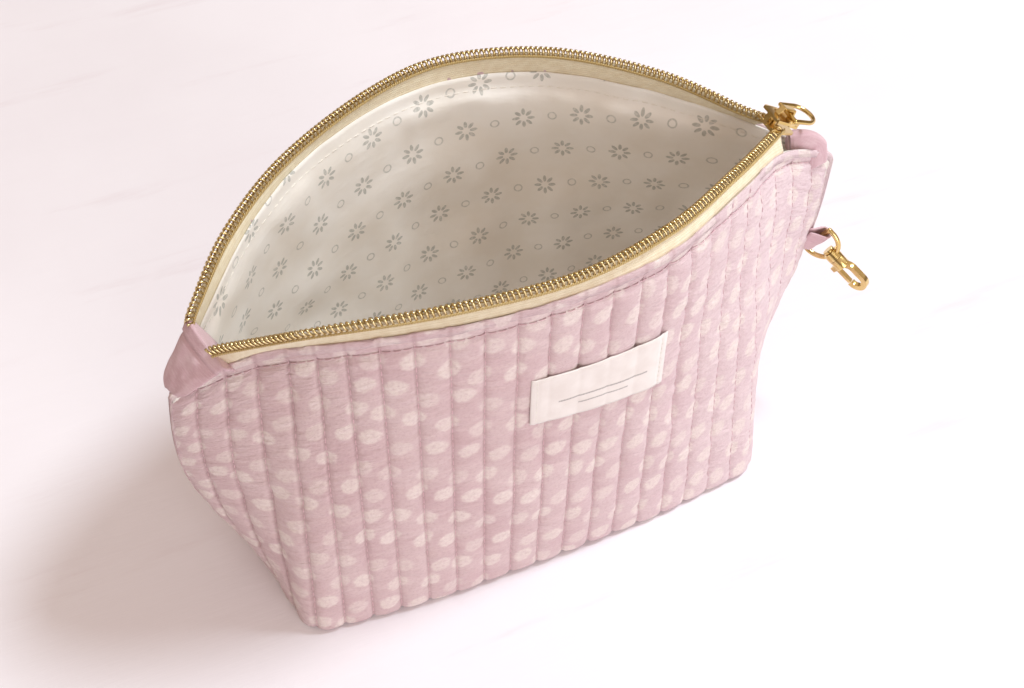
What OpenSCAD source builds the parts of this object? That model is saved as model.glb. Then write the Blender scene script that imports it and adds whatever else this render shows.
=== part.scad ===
// Quilted zip pouch with a boxed base, standing with its mouth open.
// Millimetres, +Z up, front towards -Y, origin at the centre of the base's underside.

/* [Base] */
// Length of the boxed base along X
base_w = 164; // [120:1:220]
// Depth of the boxed base along Y
base_d = 86; // [60:1:110]
// Corner radius of the base
corner_r = 6; // [5:0.5:15]
// How far the long edges of the base bow out at their middle
base_bow = 5; // [0:0.5:10]
// How far the short edges of the base bow out at their middle
end_bow = 5; // [0:0.5:10]

/* [Walls] */
// Thickness of the outer fabric
fabric_t = 0.6; // [0.4:0.1:1]
// Thickness of the quilted wadding
wadding_t = 2.4; // [1.5:0.1:3]
// Thickness of the lining fabric
lining_t = 0.4; // [0.3:0.1:0.6]
// How far the left side seam bows out of line
left_bulge = 9; // [0:1:16]
// How far the right side seam bows out of line
right_bulge = 12; // [0:1:16]

/* [Mouth] */
// Distance of the closed zip line in front of the base's centre
zip_y = -7.5; // [-10:0.5:0]
// Height of the fabric edge at the middle of the mouth
mouth_h = 129.5; // [110:0.5:140]
// How far the front edge stands forward of the zip line
front_open = 39; // [25:1:48]
// How far the back edge stands behind the zip line
back_open = 58; // [35:1:62]

/* [Zip] */
// Thickness of the zip tape
tape_t = 0.5; // [0.4:0.1:0.8]
// Radius of each coil
coil_r = 1.5; // [1.2:0.1:2]
// Length of the slider body
slider_l = 11.5; // [9:0.5:14]
// Width of the slider body
slider_w = 8.4; // [7:0.2:10]

/* [Label] */
// Length of the blank woven label
label_w = 50; // [30:10:60]
// Height of the blank woven label
label_h = 21; // [10:1:25]

/* [Clasp] */
// Wire radius of the D ring
ring_wire_r = 0.85; // [0.7:0.05:1]
// Inner width of the D ring
ring_inner_w = 11.6; // [10.6:0.2:14]
// Wire radius of the hook
hook_wire_r = 0.95; // [0.8:0.05:1.1]
// Straight length of the hook's sides
hook_side = 4.6; // [4.4:0.2:10]

/* [Hidden] */

outer_color = "#d8bcc6";
plain_color = "#cfaebb";
lining_color = "#f3efe9";
wadding_color = "#ffffff";
tape_color = "#efe2c4";
coil_color = "#c2a866";
gold_color = "#d9a945";

columns = 25;
rows = 7;
// The columns next to the base's corners stand on them.
corner_column = 4;
corner_share = base_d / 2 / (base_w + base_d);
function column_share(i) = lookup(i, [[0, 0], [corner_column, corner_share],
    [columns - corner_column, 1 - corner_share], [columns, 1]]);

// The mouth's fabric edge at every eighth of its length, as [x, share of the opening, share of the height].
front_edge = [[-101, 0, 0.74], [-76, -0.27, 0.87], [-53, -0.71, 0.97], [-24, -0.95, 1], [7, -1, 1],
    [37.5, -0.89, 1], [66, -0.53, 0.99], [91, -0.14, 0.935], [113.5, 0, 0.84]];
back_edge = [[-101, 0, 0.74], [-79, 0.27, 0.915], [-56, 0.61, 0.985], [-28, 0.89, 1], [2, 1.01, 1.005],
    [32.5, 0.9, 1.005], [60, 0.6, 0.99], [86, 0.25, 0.945], [113.5, 0, 0.84]];
// The middle of each coil, in the same terms, from the left tab to the slider.
front_coil = [[-82.5, -0.24, 0.915], [-62, -0.6, 1.005], [-28, -0.875, 1.04], [7, -0.955, 1.045], [38, -0.78, 1.04],
    [65, -0.41, 1.01], [85, -0.07, 0.975]];
back_coil = [[-87, 0.14, 0.92], [-72, 0.395, 0.985], [-50, 0.68, 1.025], [-20, 0.93, 1.045], [7, 1.02, 1.05],
    [38, 0.86, 1.05], [65, 0.52, 1.03], [85.5, 0.19, 0.985]];

// Catmull-Rom curve through the points, with equal steps between them.
function spline_point(p, k, u) = let (a = p[max(k - 1, 0)], b = p[k], c = p[k + 1],
    d = p[min(k + 2, len(p) - 1)])
    0.5 * (2 * b + (c - a) * u + (2 * a - 5 * b + 4 * c - d) * u * u
        + (3 * b - a - 3 * c + d) * u * u * u);
function spline(p, steps) = [for (k = [0 : len(p) - 2], i = [0 : steps - 1])
    spline_point(p, k, i / steps), p[len(p) - 1]];
function run_lengths(c) = [for (i = 0, a = 0; i < len(c); a = i + 1 < len(c) ? a + norm(c[i + 1] - c[i])
    : a, i = i + 1) a];

// The edge in millimetres, then tables of share of its length against each coordinate.
function edge_points(edge, open) = [for (p = edge) [p.x, zip_y + p.y * open, p.z * mouth_h]];
function edge_tables(curve) = let (s = run_lengths(curve), total = s[len(s) - 1])
    [for (axis = [0 : 2]) [for (i = [0 : len(curve) - 1]) [s[i] / total, curve[i][axis]]]];
front_tables = edge_tables(spline(edge_points(front_edge, front_open), 8));
back_tables = edge_tables(spline(edge_points(back_edge, back_open), 8));
front_coil_tables = edge_tables(spline(edge_points(front_coil, front_open), 8));
back_coil_tables = edge_tables(spline(edge_points(back_coil, back_open), 8));
// side is 1 for the front half of the bag and -1 for the back half; f runs 0 to 1 from left to right.
function at_share(t, f) = [lookup(f, t[0]), lookup(f, t[1]), lookup(f, t[2])];
function edge(side, f) = at_share(side > 0 ? front_tables : back_tables, f);
function inward(side, f) = f <= 0 ? [1, 0, 0] : f >= 1 ? [-1, 0, 0]
    : let (d = edge(side, min(f + 0.01, 1)) - edge(side, max(f - 0.01, 0)), l = norm([d.x, d.y]))
    side * [-d.y, d.x, 0] / l;

// Half the base's outline, inset by o, at share f of its length.
function base_quarter(l, w, d, r, side_run, arc) =
    l < side_run ? [-w, -l]
    : l < side_run + arc ? let (a = (l - side_run) / r * 180 / PI) [-w + r - r * cos(a), -side_run - r * sin(a)]
    : [-w + r + l - side_run - arc, -d];
function base_half(f, o) = let (w = base_w / 2 - o, d = base_d / 2 - o, r = corner_r - o, side_run = d - r,
    arc = PI * r / 2, total = 2 * (side_run + arc + w - r),
    p = base_quarter(min(f, 1 - f) * total, w, d, r, side_run, arc))
    [(f > 0.5 ? -1 : 1) * (p.x - end_bow * (1 - pow(p.y / d, 2))), p.y - base_bow * (1 - pow(p.x / w, 2))];
function base_edge(side, f, o) = let (p = base_half(f, o)) [p.x, side * p.y, max(o, 0)];

// A wall point: f along the wall, t from the base to the edge, o inwards from the outer face.
// The layers are pressed thinner towards the side seams.
function seam_share(f) = min(1, 0.35 + 0.65 * min(f, 1 - f) / 0.1);
function bulge(f, t) = let (g = max(0, 1 - min(f, 1 - f) / 0.19))
    (f < 0.5 ? -left_bulge : right_bulge) * g * g * (3 - 2 * g) * sin(180 * t);
function wall(side, f, t, o) = base_edge(side, f, o) * (1 - t)
    + (edge(side, f) + inward(side, f) * o * seam_share(f)) * t + [bulge(f, t), 0, 0];

// Turns a face over when the half is mirrored.
function facing(side, face) = side > 0 ? face : [for (i = [len(face) - 1 : -1 : 0]) face[i]];

// One layer of one half of the bag: its wall, and its half of the base up to the centre seam.
module shell(side, o1, o2) {
    c = columns + 1;
    layer = c * (rows + 1);
    last = c - 1;
    points = [for (o = [o1, o2], i = [0 : columns], j = [0 : rows]) wall(side, column_share(i), j / rows, o)];
    function at(k, i, j) = k * layer + i * (rows + 1) + j;
    walls = [for (k = [0, 1], i = [0 : columns - 1], j = [0 : rows - 1], h = [0, 1])
        let (tri = h == 0 ? [at(k, i, j), at(k, i + 1, j + 1), at(k, i + 1, j)]
            : [at(k, i, j), at(k, i, j + 1), at(k, i + 1, j + 1)])
        facing(k == 0 ? 1 : -1, tri)];
    floors = [[for (i = [0 : columns]) at(0, i, 0)], [for (i = [columns : -1 : 0]) at(1, i, 0)]];
    rim = [for (i = [0 : columns - 1], h = [0, 1])
        h == 0 ? [at(0, i, rows), at(1, i, rows), at(1, i + 1, rows)]
            : [at(0, i, rows), at(1, i + 1, rows), at(0, i + 1, rows)]];
    seams = [for (j = [0 : rows - 1], e = [0, 1], h = [0, 1])
        let (i = e * last, tri = h == 0 ? [at(0, i, j), at(1, i, j), at(1, i, j + 1)]
            : [at(0, i, j), at(1, i, j + 1), at(0, i, j + 1)])
        facing(e == 0 ? 1 : -1, tri)];
    centre = [[at(0, 0, 0), at(0, last, 0), at(1, last, 0), at(1, 0, 0)]];
    polyhedron(points, [for (f = concat(walls, floors, rim, seams, centre)) facing(side, f)], convexity = 8);
}

module front_panel() color(outer_color) shell(1, 0, fabric_t);
module back_panel() color(outer_color) shell(-1, 0, fabric_t);
module wadding_front() color(wadding_color) shell(1, fabric_t, fabric_t + wadding_t);
module wadding_back() color(wadding_color) shell(-1, fabric_t, fabric_t + wadding_t);
wall_t = fabric_t + wadding_t + lining_t;
module lining_front() color(lining_color) shell(1, fabric_t + wadding_t, wall_t);
module lining_back() color(lining_color) shell(-1, fabric_t + wadding_t, wall_t);

// A closed tube through rings of points, each with the same number of points.
module sweep(rings) {
    n = len(rings[0]);
    m = len(rings);
    sides = [for (i = [0 : m - 2], j = [0 : n - 1], h = [0, 1])
        let (a = i * n + j, b = i * n + (j + 1) % n) h == 0 ? [a, b, b + n] : [a, b + n, a + n]];
    ends = [[for (j = [n - 1 : -1 : 0]) j], [for (j = [0 : n - 1]) (m - 1) * n + j]];
    polyhedron([for (r = rings) each r], concat(sides, ends), convexity = 6);
}

// Each zip tape runs from inside the wall's edge up to its coil; f runs along the coil.
zip_start = 0.09;
zip_end = 0.86;
tape_inset = 0.9;
tape_gap = 0.6;
function coil_point(side, f) = at_share(side > 0 ? front_coil_tables : back_coil_tables, f);
function tape_root(side, f) = let (e = zip_start + (zip_end - zip_start) * f)
    edge(side, e) + inward(side, e) * tape_inset;
function unit(v) = v / norm(v);
function tape_up(side, f) = unit(coil_point(side, f) - tape_root(side, f));
function tape_across(side, f) = unit(cross(tape_up(side, f),
    coil_point(side, min(f + 0.02, 1)) - coil_point(side, max(f - 0.02, 0))));

module zip_tape(side) color(tape_color)
    sweep([for (i = [0 : 24]) let (f = i / 24, a = tape_across(side, f) * tape_t / 2,
        low = tape_root(side, f) + tape_up(side, f) * tape_gap,
        high = coil_point(side, f) - tape_up(side, f) * coil_r) [low - a, low + a, high + a, high - a]]);
module zip_coil(side) color(coil_color)
    sweep([for (i = [0 : 36]) let (f = i / 36) [for (k = [0 : 7]) coil_point(side, f)
        + coil_r * (tape_across(side, f) * cos(45 * k + 22.5) - tape_up(side, f) * sin(45 * k + 22.5))]]);
module zip_tape_front() zip_tape(1);
module zip_tape_back() zip_tape(-1);
module zip_coil_front() zip_coil(1);
module zip_coil_back() zip_coil(-1);

// A fabric tab folded over the zip's ends, as a padded plate between four corners.
tab_t = 1.4;
module zip_tab(corners) color(plain_color) hull() for (c = corners) translate(c) sphere(d = tab_t, $fn = 12);
module zip_tab_left() zip_tab([[-90.5, -1, 116], [-86, -15.5, 113.5], [-98, -14, 101.5], [-100, -5, 105]]);
module zip_tab_right() zip_tab([[98.5, -9, 121.5], [98.5, -2, 121.5], [110, -9, 114], [110, -6, 114]]);

// The slider rides at the closed end of the mouth with its wide end towards the open teeth.
slider_pos = [92, -5, 127.5];
slider_tilt = 32;
plate_t = 0.9;
channel_h = 2.4;
module slider_frame() translate(slider_pos) rotate([0, slider_tilt, 0]) children();
module slider_outline() offset(r = 0.8) polygon([[-slider_l / 2 + 0.8, -slider_w / 2 + 0.8],
    [-slider_l / 2 + 0.8, slider_w / 2 - 0.8], [0, slider_w / 2 - 0.8], [slider_l / 2 - 0.8, slider_w / 2 - 2.2],
    [slider_l / 2 - 0.8, -slider_w / 2 + 2.2], [0, -slider_w / 2 + 0.8]]);
module slider_body() color(gold_color) slider_frame() {
    difference() {
        translate([0, 0, -channel_h / 2 - plate_t]) linear_extrude(channel_h + 2 * plate_t) slider_outline();
        translate([0, 0, -channel_h / 2]) linear_extrude(channel_h) difference() {
            translate([-slider_l, -slider_w]) square([2 * slider_l, 2 * slider_w]);
            polygon([[-slider_l / 2 - 1, -1.1], [-slider_l / 2 - 1, 1.1], [-1.5, 0.4], [-1.5, -0.4]]);
        }
    }
    for (s = [-1, 1]) translate([1, s * (slider_w / 2 - 1.1) - 0.35, 0.5])
        cube([3.4, 0.7, channel_h / 2 - 0.4]);
}
crown_l = 7;
crown_w = 2;
crown_h = 3;
crown_t = 0.9;
module slider_crown() color(gold_color) slider_frame()
    translate([0, crown_w / 2, channel_h / 2 + plate_t]) rotate([90, 0, 0]) linear_extrude(crown_w)
        difference() {
            polygon([[-crown_l / 2, 0], [-crown_l / 2 + 1, crown_h], [crown_l / 2 - 1, crown_h], [crown_l / 2, 0]]);
            polygon([[-crown_l / 2 + crown_t, -0.01], [-crown_l / 2 + crown_t + 0.7, crown_h - crown_t],
                [crown_l / 2 - crown_t - 0.7, crown_h - crown_t], [crown_l / 2 - crown_t, -0.01]]);
        }

// A wire D ring in its own XZ plane: its straight bar along Z at X = 0, and its round end towards +X.
module d_ring(bow_r, leg, wire_r) {
    translate([0, 0, -bow_r]) cylinder(h = 2 * bow_r, r = wire_r, $fn = 32);
    for (s = [-1, 1]) translate([0, 0, s * bow_r]) {
        sphere(r = wire_r, $fn = 32);
        rotate([0, 90, 0]) cylinder(h = leg, r = wire_r, $fn = 32);
    }
    translate([leg, 0, 0]) rotate([90, 0, 0]) rotate([0, 0, -90])
        rotate_extrude(angle = 180, $fn = 64) translate([bow_r, 0]) circle(r = wire_r, $fn = 24);
}

// The puller is a wire loop whose straight bar runs through the crown.
puller_wire_r = 0.7;
puller_bow_r = 4.3;
puller_leg = 5.2;
puller_drop = 8;
puller_x = 0.8;
puller_z = 1.2;
module puller() color(gold_color) slider_frame()
    translate([puller_x, 0, channel_h / 2 + plate_t + puller_z]) rotate([90, 0, 0])
        rotate([0, 0, puller_drop]) d_ring(puller_bow_r, puller_leg, puller_wire_r);

// A blank woven label stitched to the front, five quilting channels long.
label_start = 11.4;
label_top = 0.77;
module label() color("#f6f0ea") {
    stop = label_start + label_w / 10;
    label_bottom = label_top - label_h / mouth_h;
    back = [for (i = [label_start : stop], t = [label_bottom, label_top])
        wall(1, column_share(i), t, -0.1)];
    front = [for (i = [label_start : stop], t = [label_bottom, label_top])
        wall(1, column_share(i), t, -0.5)];
    sweep([for (i = [0 : stop - label_start]) [back[2 * i], front[2 * i], front[2 * i + 1], back[2 * i + 1]]]);
}

// The clasp hangs out of the right side seam. Its own frame has +X along the clasp, away from the bag.
loop_pos = [116.2, -6, 69];
clasp_dip = 33;
clasp_turn = -56;
module clasp_frame() translate(loop_pos) rotate([0, clasp_dip, clasp_turn]) children();
loop_gap_r = ring_wire_r + 0.3;
loop_t = 1;
loop_w = 10;
loop_reach = 7;
strap_turn = 45;
module strap_outline() difference() {
    union() {
        circle(r = loop_gap_r + loop_t, $fn = 32);
        translate([-loop_reach, -loop_gap_r - loop_t]) square([loop_reach, 2 * (loop_gap_r + loop_t)]);
    }
    circle(r = loop_gap_r, $fn = 32);
    translate([-5, -loop_gap_r]) square([5, 2 * loop_gap_r]);
}
module strap_loop() color(plain_color) difference() {
    clasp_frame() rotate([0, 0, strap_turn]) translate([0, 0, -loop_w / 2]) linear_extrude(loop_w)
        strap_outline();
    for (side = [1, -1]) shell(side, -0.02, 12);
}

ring_r = ring_inner_w / 2 + ring_wire_r;
ring_leg = 1.5;
hub_x = ring_leg + ring_r;
hub_l = 3;
hub_r = 2.6;
post_r = 1.05;
post_clearance = 0.06;
module clasp_ring() color(gold_color) clasp_frame() difference() {
    union() {
        d_ring(ring_r, ring_leg, ring_wire_r);
        translate([hub_x - hub_l / 2, 0, 0]) rotate([0, 90, 0]) cylinder(h = hub_l, r = hub_r, $fn = 48);
    }
    translate([hub_x - hub_l, 0, 0]) rotate([0, 90, 0]) cylinder(h = 2 * hub_l, r = post_r + post_clearance,
        $fn = 32);
}

// The post turns in the ring's hub, and the hook is riveted to it.
post_head_r = 1.9;
post_head_t = 1;
shank_gap = 0.15;
shank_x = hub_x + hub_l / 2 + shank_gap;
shank_l = 3.6;
shank_r = 2.5;
post_seat = 1.5;
module swivel_post() color(gold_color) clasp_frame() rotate([0, 90, 0]) {
    translate([0, 0, hub_x - hub_l / 2 - shank_gap - post_head_t])
        cylinder(h = post_head_t, r = post_head_r, $fn = 48);
    translate([0, 0, hub_x - hub_l / 2 - shank_gap])
        cylinder(h = hub_l + 2 * shank_gap + post_seat, r = post_r, $fn = 32);
}

// The hook is a long wire loop, open on one side where the trigger closes it.
hook_face = 96;
hook_r = 2.9;
hook_x = shank_x + shank_l + hook_r - 0.6;
gate_gap = 0.35;
gate_front = hook_side - 0.4;
slot_w = 1.9;
pin_r = 0.45;
pin_clearance = 0.05;
pin_l = 3.8;
pin_x = shank_x + 3.1;
pin_y = -1.6;
module hook_frame() clasp_frame() rotate([hook_face, 0, 0]) children();
module hook_loop(r) {
    for (x = [0, hook_side]) translate([hook_x + x, 0]) circle(r = r, $fn = 64);
    translate([hook_x, -r]) square([hook_side, 2 * r]);
}
module hook_body() color(gold_color) hook_frame() difference() {
    union() {
        translate([shank_x, 0, 0]) rotate([0, 90, 0]) cylinder(h = shank_l, r = shank_r, $fn = 48);
        translate([0, 0, -hook_wire_r]) linear_extrude(2 * hook_wire_r) difference() {
            hook_loop(hook_r + hook_wire_r);
            hook_loop(hook_r - hook_wire_r);
            translate([hook_x - 6, -hook_r - 3]) square([6 + gate_front, 4.5]);
        }
    }
    translate([shank_x - 1, 0, 0]) rotate([0, 90, 0]) cylinder(h = post_seat + 1, r = post_r, $fn = 32);
    translate([shank_x + 1.7, -shank_r - 1, -slot_w / 2]) cube([shank_l, shank_r + 1.2, slot_w]);
    translate([pin_x, pin_y, -shank_r - 1]) cylinder(h = 2 * shank_r + 2, r = pin_r, $fn = 24);
}
trigger_t = 1.5;
module trigger() color(gold_color) hook_frame() difference() {
    translate([0, 0, -trigger_t / 2]) linear_extrude(trigger_t) {
        translate([pin_x, pin_y]) circle(r = 0.9, $fn = 32);
        translate([pin_x, -hook_r - 0.6]) square([hook_x + gate_front - gate_gap - pin_x, 1.2]);
        translate([pin_x - 0.9, -hook_r - 2.2]) square([1.8, 2.4]);
        translate([pin_x - 0.6, -hook_r]) square([1.2, hook_r + pin_y]);
    }
    translate([pin_x, pin_y, -trigger_t]) cylinder(h = 2 * trigger_t, r = pin_r + pin_clearance, $fn = 24);
}
module trigger_pin() color(gold_color) hook_frame()
    translate([pin_x, pin_y, -pin_l / 2]) cylinder(h = pin_l, r = pin_r, $fn = 24);
spring_outer_r = 0.35;
spring_inner_r = 0.15;
spring_l = 1.2;
module trigger_spring() color("silver") hook_frame()
    translate([shank_x + 2.1, -0.2, -spring_l / 2]) difference() {
        cylinder(h = spring_l, r = spring_outer_r, $fn = 24);
        translate([0, 0, -1]) cylinder(h = spring_l + 2, r = spring_inner_r, $fn = 24);
    }

front_panel();
back_panel();
wadding_front();
wadding_back();
lining_front();
lining_back();
zip_tape_front();
zip_tape_back();
zip_coil_front();
zip_coil_back();
zip_tab_left();
zip_tab_right();
slider_body();
slider_crown();
puller();
label();
strap_loop();
clasp_ring();
swivel_post();
hook_body();
trigger();
trigger_pin();
trigger_spring();
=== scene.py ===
"""Quilted zip pouch: the looks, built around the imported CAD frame.

Shapes are worked out in millimetres from the same driving dimensions as the CAD part, and each mesh
is made in metres. side is 1 for the front half of the bag and -1 for the back half. Cloth points use
u, millimetres across a panel from its left seam, and v, millimetres up from the base's edge.
"""
import math

import bpy
import numpy as np
from mathutils import Matrix, Vector

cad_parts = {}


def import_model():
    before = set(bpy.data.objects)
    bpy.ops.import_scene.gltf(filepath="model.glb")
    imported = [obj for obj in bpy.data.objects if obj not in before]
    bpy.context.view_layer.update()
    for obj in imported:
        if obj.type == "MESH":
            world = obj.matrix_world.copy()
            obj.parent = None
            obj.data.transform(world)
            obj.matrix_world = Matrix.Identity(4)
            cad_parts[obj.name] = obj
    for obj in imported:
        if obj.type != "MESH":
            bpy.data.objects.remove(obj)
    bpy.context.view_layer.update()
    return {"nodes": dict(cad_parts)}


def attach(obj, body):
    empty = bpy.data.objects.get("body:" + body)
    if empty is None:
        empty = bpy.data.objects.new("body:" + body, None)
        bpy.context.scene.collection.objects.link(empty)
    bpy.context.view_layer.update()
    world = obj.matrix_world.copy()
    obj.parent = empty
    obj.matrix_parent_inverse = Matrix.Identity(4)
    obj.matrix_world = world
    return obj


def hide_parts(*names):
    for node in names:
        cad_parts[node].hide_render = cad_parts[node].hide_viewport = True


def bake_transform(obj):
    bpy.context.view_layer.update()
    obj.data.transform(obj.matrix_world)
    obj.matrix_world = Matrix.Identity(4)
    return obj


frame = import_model()

MM = 0.001

# ---------------------------------------------------------------- the bag's driving dimensions
BASE_W, BASE_D, CORNER_R = 164.0, 86.0, 6.0
BASE_BOW, END_BOW = 5.0, 5.0
LEFT_BULGE, RIGHT_BULGE = 9.0, 11.2
PANEL_W = 250.0
CHANNEL = 10.0
COLUMNS = 25
CORNER_COLUMN = 4
ZIP_Y, MOUTH_H = -7.5, 129.5
OPEN = {1: 39.0, -1: 58.0}
WALL_H = 130.0
BASE_RUN = BASE_D / 2
LINING_T = 0.4
TRAVEL = {1: 38.5, -1: 57.0}
SIDE_NAME = {1: "front", -1: "back"}

# The mouth's fabric edge and the middle of each coil, as [x, share of the opening, share of the height].
EDGE = {
    1: [[-101, 0, 0.74], [-76, -0.27, 0.87], [-53, -0.71, 0.97], [-24, -0.95, 1], [7, -1, 1],
        [37.5, -0.89, 1], [66, -0.53, 0.99], [91, -0.14, 0.935], [113.5, 0, 0.84]],
    -1: [[-101, 0, 0.74], [-79, 0.27, 0.915], [-56, 0.61, 0.985], [-28, 0.89, 1], [2, 1.01, 1.005],
         [32.5, 0.9, 1.005], [60, 0.6, 0.99], [86, 0.25, 0.945], [113.5, 0, 0.84]],
}
COIL = {
    1: [[-87, -0.16, 0.89], [-82.5, -0.24, 0.915], [-62, -0.6, 1.005], [-28, -0.875, 1.04],
        [7, -0.955, 1.045], [38, -0.78, 1.04], [65, -0.41, 1.01], [84, -0.1, 0.98], [91, 0.01, 0.982]],
    -1: [[-90, 0.08, 0.895], [-87, 0.14, 0.92], [-72, 0.395, 0.985], [-50, 0.68, 1.025], [-20, 0.93, 1.045],
         [7, 1.02, 1.05], [38, 0.86, 1.05], [65, 0.52, 1.03], [84, 0.19, 0.99], [91, 0.07, 0.982]],
}
ZIP_START, ZIP_END = 0.07, 0.89
TAPE_INSET = 0.9


# ---------------------------------------------------------------- curves and surfaces
def smooth(x):
    """Smoothstep of x, held to 0 to 1."""
    x = np.clip(x, 0, 1)
    return x * x * (3 - 2 * x)


def unit(a):
    """Vectors brought to length 1."""
    return a / np.maximum(np.linalg.norm(a, axis=-1, keepdims=True), 1e-12)


def spline_table(points, side, steps=24):
    """A Catmull-Rom curve through the points, as (share of length, places)."""
    p = np.array([[x, ZIP_Y + y * OPEN[side], z * MOUTH_H] for x, y, z in points])
    p = np.vstack([p[:1], p, p[-1:]])
    run = []
    for k in range(len(p) - 3):
        a, b, c, d = p[k:k + 4]
        u = np.arange(steps)[:, None] / steps
        run.append(0.5 * (2 * b + (c - a) * u + (2 * a - 5 * b + 4 * c - d) * u ** 2
                          + (3 * b - a - 3 * c + d) * u ** 3))
    curve = np.vstack(run + [p[-1:]])
    length = np.r_[0, np.cumsum(np.linalg.norm(np.diff(curve, axis=0), axis=1))]
    return length / length[-1], curve, length[-1]


EDGE_TABLE = {side: spline_table(EDGE[side], side) for side in EDGE}
COIL_TABLE = {side: spline_table(COIL[side], side) for side in COIL}


def on_table(table, f):
    return np.stack([np.interp(f, table[0], table[1][:, k]) for k in range(3)], -1)


def edge(side, f):
    return on_table(EDGE_TABLE[side], f)


def coil_point(side, f):
    return on_table(COIL_TABLE[side], f)


def share_of(u):
    """Share of the mouth's edge at u millimetres; the channels by the corners stand on them."""
    corner = BASE_D / 2 / (BASE_W + BASE_D)
    return np.interp(u / CHANNEL, [0, CORNER_COLUMN, COLUMNS - CORNER_COLUMN, COLUMNS],
                     [0, corner, 1 - corner, 1])


def inward(side, f):
    """Level direction from the mouth's edge into the bag, turning to X at the side seams."""
    d = edge(side, np.minimum(f + 0.01, 1)) - edge(side, np.maximum(f - 0.01, 0))
    n = side * np.stack([-d[..., 1], d[..., 0], 0 * f], -1)
    end = np.stack([np.where(f < 0.5, 1.0, -1.0), 0 * f, 0 * f], -1)
    w = smooth(1 - np.minimum(f, 1 - f) / 0.03)[..., None]
    return unit(unit(n) * (1 - w) + end * w)


def base_half(f, o):
    """Half the base's outline, inset by o."""
    w, d, r = BASE_W / 2 - o, BASE_D / 2 - o, np.maximum(CORNER_R - o, 1.5)
    side_run = d - r
    arc = math.pi * r / 2
    run = np.minimum(f, 1 - f) * 2 * (side_run + arc + w - r)
    a = np.clip((run - side_run) / r, 0, math.pi / 2)
    x = -w + r - r * np.cos(a) + np.maximum(run - side_run - arc, 0)
    y = -np.minimum(run, side_run) - r * np.sin(a)
    sign = np.where(f > 0.5, -1.0, 1.0)
    return sign * (x - END_BOW * (1 - (y / d) ** 2)), y - BASE_BOW * (1 - (x / w) ** 2)


def bulge(f, t):
    """How far the side seams stand out in X at share t of the wall's height."""
    g = smooth(1 - np.minimum(f, 1 - f) / 0.19)
    return np.where(f < 0.5, -LEFT_BULGE, RIGHT_BULGE) * g * np.sin(math.pi * np.clip(t, 0, 1))


def skin(side, u, v, o):
    """Points of a bag layer at inset o. v runs up the wall where it is above 0, and below 0 it runs
    across the base to the centre seam at -BASE_RUN."""
    f = share_of(u)
    x, y = base_half(f, o)
    y = side * y
    t = np.maximum(v, 0) / WALL_H
    s = np.maximum(-v, 0) / BASE_RUN
    foot = np.stack([x, y * (1 - s), 0 * x + np.maximum(o, 0)], -1)
    seam = np.minimum(1, 0.35 + 0.65 * np.minimum(f, 1 - f) / 0.1)
    top = edge(side, f) + inward(side, f) * (o * seam)[..., None]
    p = foot * (1 - t[..., None]) + top * t[..., None]
    p[..., 0] += bulge(f, t)
    return p


def rounded_skin(side, u, v, o, r):
    """The skin with its fold at the base's edge rounded over r millimetres to each side."""
    p = skin(side, u, v, o)
    near = np.abs(v) < r
    a = (np.clip(v, -r, r) + r)[..., None] / (2 * r)
    low, mid, high = (skin(side, u, 0 * v + k, o) for k in (-r, 0, r))
    fold = (1 - a) ** 2 * low + 2 * a * (1 - a) * mid + a ** 2 * high
    return np.where(near[..., None], fold, p)


def grid_normals(p, side):
    """Outward normals of a grid of points, first axis along u and second along v."""
    du = np.gradient(p, axis=0)
    dv = np.gradient(p, axis=1)
    return unit(np.cross(du, dv)) * side


def lattice_noise(x, y, seed):
    """Smooth noise from -1 to 1, with one random value for each whole number of x and y."""
    grid = np.random.default_rng(seed).uniform(-1, 1, (97, 89))
    i, j = np.floor(x).astype(int), np.floor(y).astype(int)
    a, b = smooth(x - i), smooth(y - j)

    def at(di, dj):
        return grid[(i + di) % 97, (j + dj) % 89]

    return ((at(0, 0) * (1 - a) + at(1, 0) * a) * (1 - b)
            + (at(0, 1) * (1 - a) + at(1, 1) * a) * b)


def spread(shape, *parts):
    """Coordinates brought to one shape and stacked as points."""
    return np.stack([np.broadcast_to(x, shape) for x in parts], -1)


# ---------------------------------------------------------------- meshes
def mesh_object(name, points, faces, material, cloth=None):
    """A smooth mesh from points in millimetres; cloth is its coordinates for woven materials."""
    mesh = bpy.data.meshes.new(name)
    mesh.from_pydata((np.asarray(points).reshape(-1, 3) * MM).tolist(), [], faces)
    mesh.validate()
    if cloth is not None:
        attribute = mesh.attributes.new("cloth", "FLOAT_VECTOR", "POINT")
        attribute.data.foreach_set("vector", np.asarray(cloth, np.float32).ravel())
    mesh.shade_smooth()
    mesh.materials.append(material)
    o = bpy.data.objects.new(name, mesh)
    bpy.context.scene.collection.objects.link(o)
    return o


def grid_faces(nu, nv, flip=False, wrap_v=False, start=0):
    """Quads over a grid of nu by nv points that is stored row by row along v."""
    i, j = np.meshgrid(np.arange(nu - 1), np.arange(nv if wrap_v else nv - 1), indexing="ij")
    k = (j + 1) % nv
    f = np.stack([i * nv + j, (i + 1) * nv + j, (i + 1) * nv + k, i * nv + k], -1).reshape(-1, 4)
    return (f[:, ::-1] if flip else f) + start


def solidify(o, thickness, offset=-1.0):
    """Gives a surface its cloth thickness in millimetres."""
    m = o.modifiers.new("thickness", "SOLIDIFY")
    m.thickness = thickness * MM
    m.offset = offset
    m.use_even_offset = False
    return o


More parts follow.
